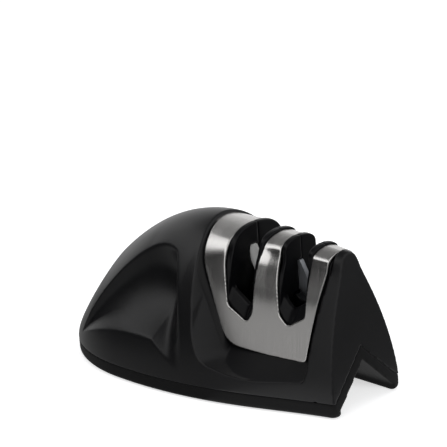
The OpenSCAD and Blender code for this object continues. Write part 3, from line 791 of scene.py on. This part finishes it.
# Arch of the linings, proud of the steel at the crown and tucked in behind it on the flanks
def lining_arch():
    rings = []
    for x in stations(head_point(0, 0)[0], arch_end_x, 140):
        ring = []
        for rise in rises(70):
            top = crown(x) - lining_drop
            z = core_foot + (top - core_foot) * rise
            tuck = lining_tuck * min(bound((top - z) / tuck_h), bound((z - tuck_low) / tuck_h))
            ring.append((x, max(sliver, saddle_half(x, z, lining_proud) - tuck), z))
        rings.append(mirrored_ring(ring))
    return loft("lining_arch", rings)


# Both slots' openings, drawn in by an inset
def both_slots(inset):
    return add(slot_cut(slot_1_x, slot_1_lows, inset), slot_cut(slot_2_x, slot_2_lows, inset))


# Rooms in the core: for the carriers, the posts and their screws, and the screws that tie the halves
carrier_half_l, carrier_half_w, carrier_foot, carrier_top, carrier_play = 4.1, 4, 20.4, 28, 0.15
post_play, post_clear_r, access_r, mount_h = 0.15, 1.7, 3.3, 28.5
tie_r, tie_clear_r, tie_head_r, tie_seat_y, tie_thread_y, tie_clear_y = 1.2, 1.4, 2.4, -2.6, 2.8, -3.6
abrasive_play = 0.2
shaft_foot = -250


# The whole core, before it is parted down the middle
def core_shape():
    core = cut(keep(head_arch(-core_in, core_foot), head_outline(core_outline, core_rounds, core_gap)),
               both_slots(2 * slot_play))
    add(core, keep(lining_arch(), both_slots(slot_play)))
    cut(core, *slot_room(slot_1_x, slot_1_floor))
    cut(core, *slot_room(slot_2_x, slot_2_floor))
    shaft = [(x + core_gap * a, y - core_gap * b) for (x, y), a, b in
             zip(hatch, (1, 0, -1, -1, 0, 1), (1, 1, 1, -1, -1, -1))]
    for side in (-1, 1):
        well_wall = loft("shaft", [[(x, y, z) for x, y in shaft] for z in (shaft_foot, hatch_top)])
        cut(core, cut(under_floor(side, -core_gap), well_wall))
    cut(core, ridge(plate_top + core_gap, -far_past, far_past))
    half_l, half_w = carrier_half_l + carrier_play, carrier_half_w + carrier_play
    for middle in (slot_1_x, slot_2_x):
        cut(core, bar("carrier_room", (middle - half_l, -half_w, carrier_foot - carrier_play),
                      (middle + half_l, half_w, carrier_top + carrier_play)))
    for y in (-post_y, post_y):
        cut(core, stub("post_room", post_x, y, post_r + post_play, 0, post_top),
            stub("clear", post_x, y, post_clear_r, 0, past),
            stub("access", post_x, y, access_r, mount_h, past))
    for x, z in tie_places:
        cut(core, crosswise("tie_thread", x, z, tie_r, -tie_thread_y, tie_thread_y),
            crosswise("tie_clear", x, z, tie_clear_r, tie_clear_y, 0),
            crosswise("tie_seat", x, z, tie_head_r, -past, tie_seat_y))
    return core


def core_half(name, side):
    near_y, far_y = min(0, past * side), max(0, past * side)
    half = keep(core_shape(), bar("half_room", (-past, near_y, -past), (past, far_y, far_past)))
    cut(half, lean_rod("rod_room", side, rod_d / 2 + abrasive_play, abrasive_play),
        lean_blade("blade_room", side, abrasive_play))
    soften(half, grain=0.2, rounds=6, kept=0.5)
    half.name = name
    return half


# Darker and less glossy than the housing's black: partly the core's own plastic, partly painted shade for the
# insides of the slots, where the core halves, their fins and the carriers sit
core_plastic_and_painted_shade = black_plastic("black_plastic_with_painted_slot_shade", (0.0025, 0.0025, 0.003), roughness=0.3, gloss=0.15,
                            grain_depth=0.2)
dress(core_half("core_near_half", -1), core_plastic_and_painted_shade, "black_plastic", "core_front")
dress(core_half("core_far_half", 1), core_plastic_and_painted_shade, "black_plastic", "core_back")

# Carriers. Two black cradle blocks that stand on the base plate's ridge and hold the abrasives
# at their angles; the carbide plates are clamped in theirs by small set screws.
cradle_r, rod_cradle_drop, plate_cradle_drop = 2.9, 5.8, 4.7
set_screw_r, set_screw_l, set_screw_up = 1.2, 2.3, 2.2


# A carrier block with its cradle, the U-shaped notch at the slot's bottom, and its pockets
def carrier(name, middle, drop, pockets):
    block = bar(name, (middle - carrier_half_l, -carrier_half_w, carrier_foot),
                (middle + carrier_half_l, carrier_half_w, carrier_top))
    cut(block, crosswise("cradle", middle, apex_h - drop + cradle_r, cradle_r, -5, 5), *pockets)
    return soften(block, grain=0.2, rounds=3)


# A set screw against its plate, or with extra the pocket that it stands in
def set_screw(name, side, extra):
    circle = [(set_screw_r * math.cos(t), set_screw_r * math.sin(t)) for t in full_turn(32)]
    stem = loft(name, [[(x, y, z) for x, y in circle] for z in (0, set_screw_l + extra)])
    pose = blade_pose(side, blade_w / 2, side * (blade_t + pair_gap / 2), set_screw_up - blade_l)
    stem.data.transform(pose @ Matrix.Rotation(math.radians(-side * 90), 4, "X"))
    return stem


rod_pockets = [lean_rod("pocket", side, rod_d / 2, 0) for side in (-1, 1)]
rod_block = carrier("rod_cradle", slot_1_x, rod_cradle_drop, rod_pockets)
plate_pockets = [lean_blade("pocket", side, 0) for side in (-1, 1)]
plate_pockets += [set_screw("pocket", side, 1) for side in (-1, 1)]
plate_block = carrier("plate_cradle", slot_2_x, plate_cradle_drop, plate_pockets)
# The carriers take the core's darker black, with its painted shade of the slots
dress(rod_block, core_plastic_and_painted_shade, "black_plastic", "rod_carrier")
dress(plate_block, core_plastic_and_painted_shade, "black_plastic", "blade_carrier")

# Abrasives. Two fired white ceramic rods cross in the fine slot, and two ground tungsten carbide
# plates cross in the coarse slot; each stands in its pocket of the carrier.
def fired_ceramic():
    finish = bpy.data.materials.new("fired_white_ceramic")
    finish.use_nodes = True
    nodes, links = finish.node_tree.nodes, finish.node_tree.links
    shader = nodes["Principled BSDF"]
    where = nodes.new("ShaderNodeTexCoord")
    grit = nodes.new("ShaderNodeTexNoise")
    grit.inputs["Scale"].default_value = 3500
    links.new(where.outputs["Object"], grit.inputs["Vector"])
    tint = nodes.new("ShaderNodeMixRGB")
    tint.inputs["Color1"].default_value = (0.8, 0.79, 0.76, 1)
    tint.inputs["Color2"].default_value = (0.92, 0.91, 0.89, 1)
    links.new(grit.outputs["Fac"], tint.inputs["Fac"])
    links.new(tint.outputs["Color"], shader.inputs["Base Color"])
    span = nodes.new("ShaderNodeMapRange")
    span.inputs["To Min"].default_value = 0.5
    span.inputs["To Max"].default_value = 0.7
    links.new(grit.outputs["Fac"], span.inputs["Value"])
    links.new(span.outputs["Result"], shader.inputs["Roughness"])
    bump = nodes.new("ShaderNodeBump")
    bump.inputs["Strength"].default_value = 0.25
    bump.inputs["Distance"].default_value = 0.00002
    links.new(grit.outputs["Fac"], bump.inputs["Height"])
    links.new(bump.outputs["Normal"], shader.inputs["Normal"])
    return finish


ceramic_finish = fired_ceramic()
for name, side, stand_in in (("white_rod_near", -1, "ceramic_rod_front"),
                             ("white_rod_far", 1, "ceramic_rod_back")):
    dress(lean_rod(name, side, rod_d / 2, 0), ceramic_finish, "ceramic", stand_in)
carbide_finish = brushed_steel("ground_carbide", (0.3, 0.31, 0.33), roughness=0.38, streaks=0.15)
for name, side, stand_in in (("plate_near", -1, "carbide_blade_front"),
                             ("plate_far", 1, "carbide_blade_back")):
    dress(lean_blade(name, side, 0), carbide_finish, "carbide", stand_in)


# Screws. Zinc plated, with a rolled thread, a low round head and a cross recess; they are shown
# from below in the sole's holes and hidden inside the head.
thread_pitch, thread_depth, thread_start_l, tip_l = 0.5, 0.28, 0.6, 0.8
head_curve = ((0.55, 1), (0.85, 0.86), (0.98, 0.5), (1, 0.12), (0.97, 0))
recess_l_share, recess_w_share = 0.6, 0.14


# A screw that points up from the face under its head
def screw(name, d, length, head_r, head_h):
    turns = full_turn(24)
    rings = []
    for k, h in head_curve:
        rings.append([(head_r * k * math.cos(t), head_r * k * math.sin(t), -head_h * h) for t in turns])
    steps = round(length / thread_pitch * 8)
    for i in range(steps + 1):
        z = length * i / steps
        taper = min(1, (length - z) / tip_l + 0.5)
        ring = []
        for t in turns:
            phase = (z / thread_pitch - t / (2 * math.pi)) % 1
            r = d / 2 * taper - thread_depth * abs(2 * phase - 1) * min(1, z / thread_start_l)
            ring.append((r * math.cos(t), r * math.sin(t), z))
        rings.append(ring)
    solid = loft(name, rings)
    a, b = head_r * recess_l_share, head_r * recess_w_share
    recess = [(-a, b), (a, b), (a, -b), (-a, -b)]
    for turn in (0, 90):
        levels = ((1, -head_h - 0.5), (0.5, -0.2))
        arm = loft("arm", [[(x * k, y * k, z) for x, y in recess] for k, z in levels])
        arm.data.transform(Matrix.Rotation(math.radians(turn), 4, "Z"))
        cut(solid, arm)
    return solid


# Moves a screw to its seat, turned about X
def place(solid, x, y, z, turn=0):
    seat = Matrix.Translation(Vector((x, y, z)) * MM)
    solid.data.transform(seat @ Matrix.Rotation(math.radians(turn), 4, "X"))
    return solid


def zinc_plate(name):
    finish = bpy.data.materials.new(name)
    finish.use_nodes = True
    nodes, links = finish.node_tree.nodes, finish.node_tree.links
    shader = nodes["Principled BSDF"]
    shader.inputs["Metallic"].default_value = 1
    where = nodes.new("ShaderNodeTexCoord")
    haze = nodes.new("ShaderNodeTexNoise")
    haze.inputs["Scale"].default_value = 400
    haze.inputs["Detail"].default_value = 5
    links.new(where.outputs["Object"], haze.inputs["Vector"])
    tint = nodes.new("ShaderNodeMixRGB")
    tint.inputs["Color1"].default_value = (0.5, 0.51, 0.54, 1)
    tint.inputs["Color2"].default_value = (0.66, 0.66, 0.67, 1)
    links.new(haze.outputs["Fac"], tint.inputs["Fac"])
    links.new(tint.outputs["Color"], shader.inputs["Base Color"])
    span = nodes.new("ShaderNodeMapRange")
    span.inputs["To Min"].default_value = 0.28
    span.inputs["To Max"].default_value = 0.5
    links.new(haze.outputs["Fac"], span.inputs["Value"])
    links.new(span.outputs["Result"], shader.inputs["Roughness"])
    return finish


zinc_finish = zinc_plate("zinc_plated_steel")
pad_floor = 2.4
long_d, long_l, long_head_r, long_head_h = 3, 11, 2.7, 1.5
small_d, short_l, tie_l, small_head_r, small_head_h = 2.4, 5.6, 5.2, 2.2, 1.3


def zinc_screw(fixed, stand_in):
    dress(fixed, zinc_finish, "zinc_steel", stand_in)


for i, (x, y) in enumerate(long_screws):
    long_screw = screw("long_screw_%d" % i, long_d, long_l, long_head_r, long_head_h)
    zinc_screw(place(long_screw, x, y, pad_floor), "base_screws_long")
for i, (x, y) in enumerate(short_screws):
    short_screw = screw("short_screw_%d" % i, small_d, short_l, small_head_r, small_head_h)
    zinc_screw(place(short_screw, x, y, pad_floor), "base_screws_short")
for i, side in enumerate((-1, 1)):
    mount_screw = screw("mount_screw_%d" % i, long_d, long_l, long_head_r, long_head_h)
    zinc_screw(place(mount_screw, post_x, side * post_y, mount_h, 180), "core_mount_screws")
for i, (x, z) in enumerate(tie_places):
    tie_screw = screw("tie_screw_%d" % i, small_d, tie_l, small_head_r, small_head_h)
    zinc_screw(place(tie_screw, x, tie_seat_y, z, -90), "core_tie_screws")
for i, side in enumerate((-1, 1)):
    zinc_screw(set_screw("set_screw_%d" % i, side, 0), "blade_set_screws")


# Base plate. Pressed sheet with a raised right-angled ridge along its middle, which closes the
# housing from below; the rubber sole is moulded round it.
plate_inset, long_clear_r, short_clear_r = 2.2, 1.7, 1.4
clear_foot, clear_top = -5, 20


# A block on the body's plan, drawn in by an inset
def plan_block(name, inset, low, high):
    xs = stations(sliver - end_x + inset, end_x - inset, 150, 1.4)
    near = [(x, -max(sliver, plan_half(x) - inset)) for x in xs]
    outline = near + [(x, -y) for x, y in reversed(near)]
    return loft(name, [[(x, y, z) for x, y in outline] for z in (low, high)])


plate = plan_block("base_sheet", plate_inset, pad_floor, seam_h)
add(plate, ridge(plate_top, plate_start_x, plate_end_x))
keep(plate, bar("ends", (plate_start_x, -past, pad_floor), (plate_end_x, past, past)),
     plan_block("outline", plate_inset, 0, past))
cut(plate, ridge(band_top, -far_past, far_past))
cut(plate, *[stub("clear", x, y, long_clear_r, clear_foot, clear_top) for x, y in long_screws])
cut(plate, *[stub("clear", x, y, short_clear_r, clear_foot, clear_top) for x, y in short_screws])
soften(plate, grain=0.35, rounds=3, kept=0.4)
plate_finish = brushed_steel("pressed_sheet", (0.5, 0.5, 0.49), roughness=0.42, streaks=0.15)
dress(plate, plate_finish, "brushed_steel", "base_plate")


# Sole. One soft black rubber moulding, the rounded feet and the lining of the groove in which
# a counter edge sits.
foot_half, foot_round = 10.7, 2.5
foot_edge = ((0, 1.3), (0.2, 0.75), (0.55, 0.3), (1.2, 0), (seam_h, 0))
long_hole_r, short_hole_r, hole_foot, hole_top = 3, 2.5, -1, 4
lining_foot = seam_h - 0.2


# Both feet: rounded where they meet the end face, and along the edge they stand on
def feet():
    rings = []
    corner_x = end_x - foot_round
    centre_y = plan_half(corner_x) - foot_round
    for z, inset in foot_edge:
        xs = stations(sliver - end_x + inset, corner_x, 150, 1.4)
        near = [(x, -max(sliver, plan_half(x) - inset)) for x in xs]
        reach = foot_round - inset
        for turn in stations(0, math.pi / 2, 8)[1:]:
            near.append((corner_x + reach * math.sin(turn), -centre_y - reach * math.cos(turn)))
        rings.append([(x, y, z) for x, y in near] + [(x, -y, z) for x, y in reversed(near)])
    return loft("feet", rings)


groove_side_h = groove_h - foot_half
groove = [(-foot_half, -1), (-foot_half, groove_side_h), (0, groove_h)]
groove += [(foot_half, groove_side_h), (foot_half, -1)]
above_feet = bar("above_feet", (-past, -past, lining_foot), (past, past, past))
lining = keep(ridge(band_top, band_start_x, end_x), above_feet)
pad = keep(add(feet(), lining), plan_block("outline", 0, 0, past))
cut(pad, loft("groove", [[(x, y, z) for y, z in groove] for x in (-far_past, far_past)]))
over_h = 47
beyond = [(end_x, 0), (end_x - end_slope * over_h, over_h), (past, over_h), (past, -1)]
beyond.append((end_x + end_slope, -1))
cut(pad, across("beyond", beyond, -past, past))
sheet_room = plan_block("sheet_room", plate_inset, pad_floor, past)
keep(sheet_room, bar("ends", (plate_start_x, -past, 0), (plate_end_x, past, 70)))
cut(pad, cut(sheet_room, ridge(band_top, -far_past, far_past)))
cut(pad, *[stub("hole", x, y, long_hole_r, hole_foot, hole_top) for x, y in long_screws])
cut(pad, *[stub("hole", x, y, short_hole_r, hole_foot, hole_top) for x, y in short_screws])
soften(pad, grain=0.35, rounds=4, kept=0.35)
pad.name = "rubber_sole"
rubber = black_plastic("matte_black_rubber", (0.005, 0.005, 0.0052), roughness=0.6, gloss=0.12,
                       grain_depth=0.5)
dress(pad, rubber, "black_rubber", "base_pad")
